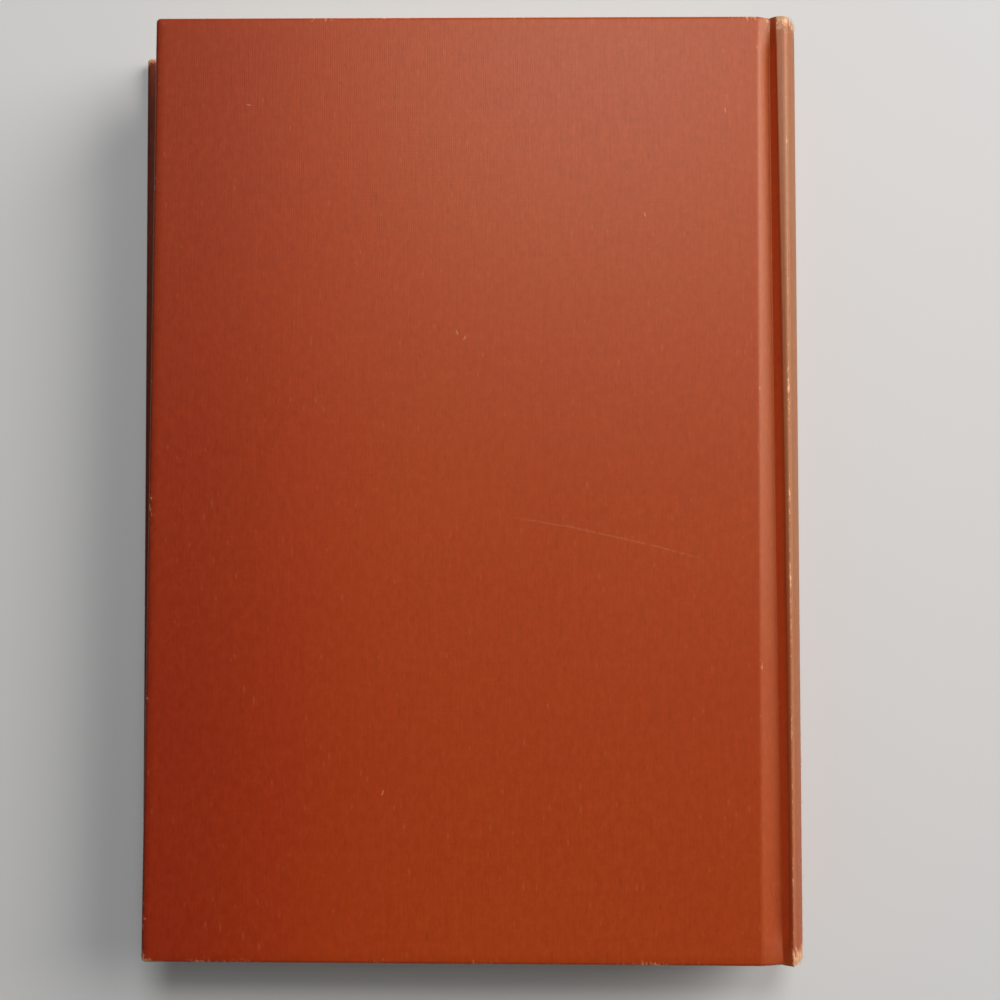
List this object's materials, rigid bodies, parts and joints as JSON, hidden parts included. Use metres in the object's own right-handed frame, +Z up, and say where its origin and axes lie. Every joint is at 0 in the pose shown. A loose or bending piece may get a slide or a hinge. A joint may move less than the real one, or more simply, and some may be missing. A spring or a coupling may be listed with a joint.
{
  "type": "hardback book",
  "caption": "Cloth-bound hardback book, closed, with rounded and backed spine, French joints, endpapers, endbands and two covers that open.",
  "frame": {"origin": "centre of the front cover's outer face, on which the book lies", "axes": "+X from the fore edges to the spine, +Y from the tail to the head, +Z up from the front cover to the back cover"},
  "size_m": [0.1541, 0.2096, 0.025],
  "materials": {
    "book_cloth": "matt, fine woven and starched, rubbed at the edges",
    "faded_book_cloth": "matt, sun-faded and frayed at head and tail",
    "binders_board": "dense grey pulp board",
    "aged_paper": "uncoated, toned at the edges",
    "gauze": "open weave, glued",
    "endband_cloth": "striped woven bead"
  },
  "bodies": {
    "text_block": {"leaves": "aged_paper", "front_flyleaf": "aged_paper", "back_flyleaf": "aged_paper", "mull": "gauze", "spine_lining": "aged_paper", "head_band": "endband_cloth", "tail_band": "endband_cloth", "spine_inlay": "binders_board", "spine_cloth": "faded_book_cloth", "front_joint_cloth": "book_cloth", "back_joint_cloth": "book_cloth"},
    "back_cover": {"back_board": "binders_board", "back_cover_cloth": "book_cloth", "back_mull_wing": "gauze", "back_pastedown": "aged_paper"},
    "front_cover": {"front_board": "binders_board", "front_cover_cloth": "book_cloth", "front_mull_wing": "gauze", "front_pastedown": "aged_paper"}
  },
  "joints": [
    {"name": "back_cover_hinge", "type": "hinge", "parent": "text_block", "child": "back_cover", "pos_m": [0.0805, 0, 0.02335], "axis": [0, 1, 0], "range_deg": [0, 180], "deforming": ["back_joint_cloth"]},
    {"name": "front_cover_hinge", "type": "hinge", "parent": "text_block", "child": "front_cover", "pos_m": [0.0741, 0, 0.00165], "axis": [0, -1, 0], "range_deg": [0, 180], "deforming": ["front_joint_cloth"]}
  ]
}
